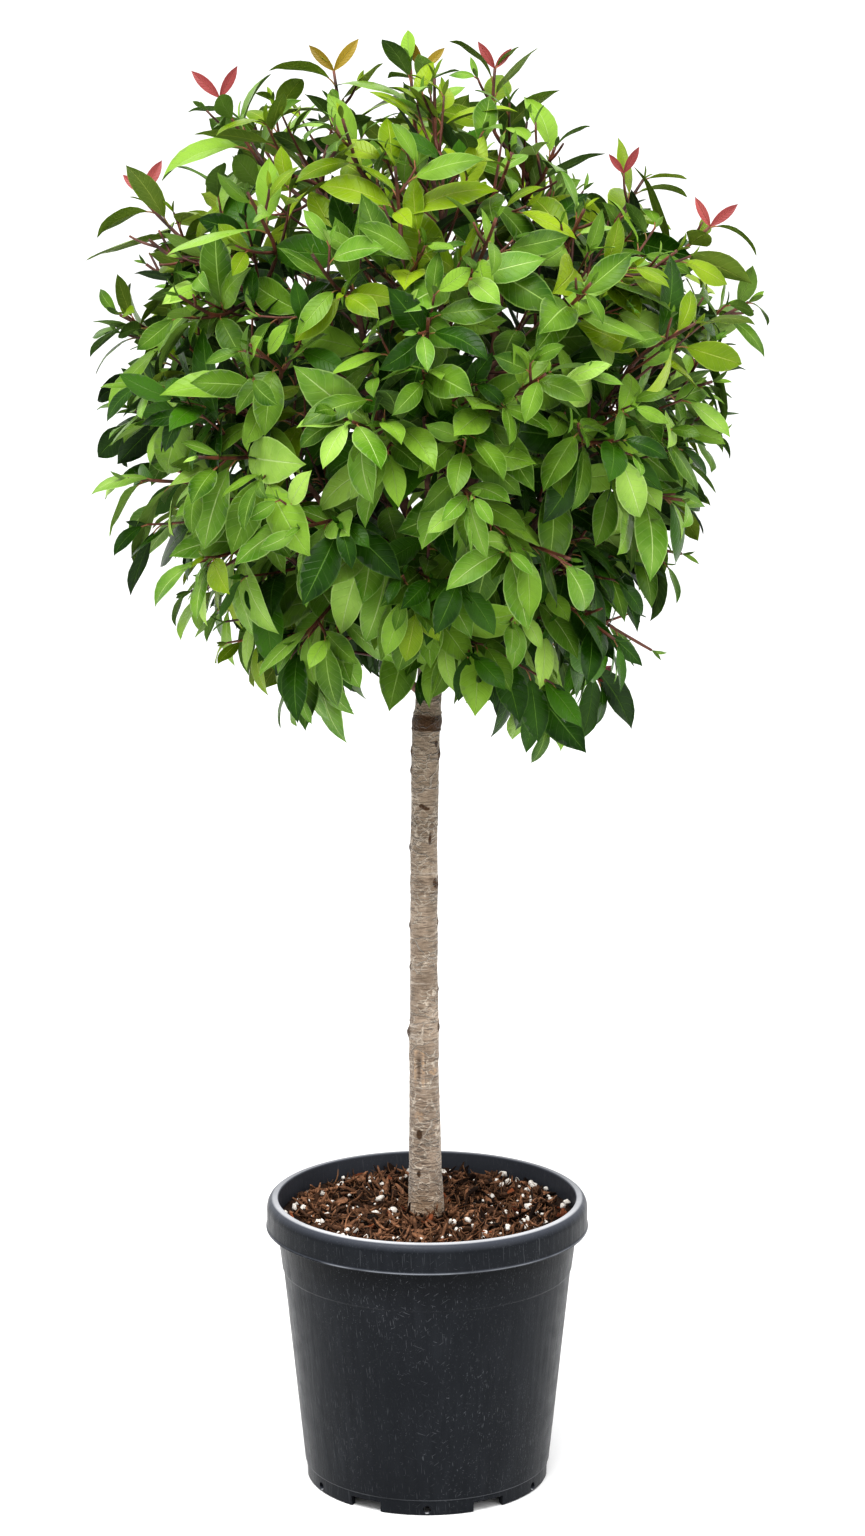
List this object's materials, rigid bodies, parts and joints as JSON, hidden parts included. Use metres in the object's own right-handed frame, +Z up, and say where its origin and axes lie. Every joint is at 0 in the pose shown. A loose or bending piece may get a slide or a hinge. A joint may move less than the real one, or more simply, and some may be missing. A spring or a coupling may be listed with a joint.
{
  "type": "potted plant",
  "caption": "Clipped standard photinia in a nursery pot: a straight bare stem under a round crown of glossy pointed leaves, on dark bark soil.",
  "frame": {"origin": "middle of the pot's flat underside, at floor level", "axes": "+Z up along the stem, -Y towards the picture's camera, +X to the right in the picture"},
  "size_m": [0.6876, 0.6469, 1.4197],
  "materials": {
    "pot_plastic": "smooth matte charcoal plastic with light scuffs",
    "bark_soil": "damp bark-chip potting soil, dark brown",
    "trunk_bark": "pale grey-brown bark with a fine net of cracks",
    "bough_bark": "smooth dark red-brown young bark",
    "foliage_low": "thin smooth leaves with a soft sheen, on red-brown twigs",
    "foliage_middle": "thin smooth leaves with a soft sheen, on red-brown twigs",
    "foliage_upper": "thin smooth leaves with a soft sheen, on red-brown twigs",
    "foliage_top": "thin smooth leaves with a soft sheen, on red-brown twigs"
  },
  "bodies": {
    "root": {"pot": "pot_plastic", "soil": "bark_soil", "trunk": "trunk_bark", "bough_top_1": "bough_bark", "bough_top_2": "bough_bark", "bough_top_3": "bough_bark", "bough_top_4": "bough_bark", "bough_upper_1": "bough_bark", "bough_upper_2": "bough_bark", "bough_upper_3": "bough_bark", "bough_upper_4": "bough_bark", "bough_upper_5": "bough_bark", "bough_upper_6": "bough_bark", "bough_middle_1": "bough_bark", "bough_middle_2": "bough_bark", "bough_middle_3": "bough_bark", "bough_middle_4": "bough_bark", "bough_middle_5": "bough_bark", "bough_middle_6": "bough_bark", "bough_middle_7": "bough_bark", "bough_low_1": "bough_bark", "bough_low_2": "bough_bark", "bough_low_3": "bough_bark", "bough_low_4": "bough_bark", "bough_low_5": "bough_bark", "bough_low_6": "bough_bark", "leaves_top_1": "foliage_top", "leaves_top_2": "foliage_top", "leaves_top_3": "foliage_top", "leaves_top_4": "foliage_top", "leaves_upper_1": "foliage_upper", "leaves_upper_2": "foliage_upper", "leaves_upper_3": "foliage_upper", "leaves_upper_4": "foliage_upper", "leaves_upper_5": "foliage_upper", "leaves_upper_6": "foliage_upper", "leaves_middle_1": "foliage_middle", "leaves_middle_2": "foliage_middle", "leaves_middle_3": "foliage_middle", "leaves_middle_4": "foliage_middle", "leaves_middle_5": "foliage_middle", "leaves_middle_6": "foliage_middle", "leaves_middle_7": "foliage_middle", "leaves_low_1": "foliage_low", "leaves_low_2": "foliage_low", "leaves_low_3": "foliage_low", "leaves_low_4": "foliage_low", "leaves_low_5": "foliage_low", "leaves_low_6": "foliage_low"}
  },
  "joints": []
}
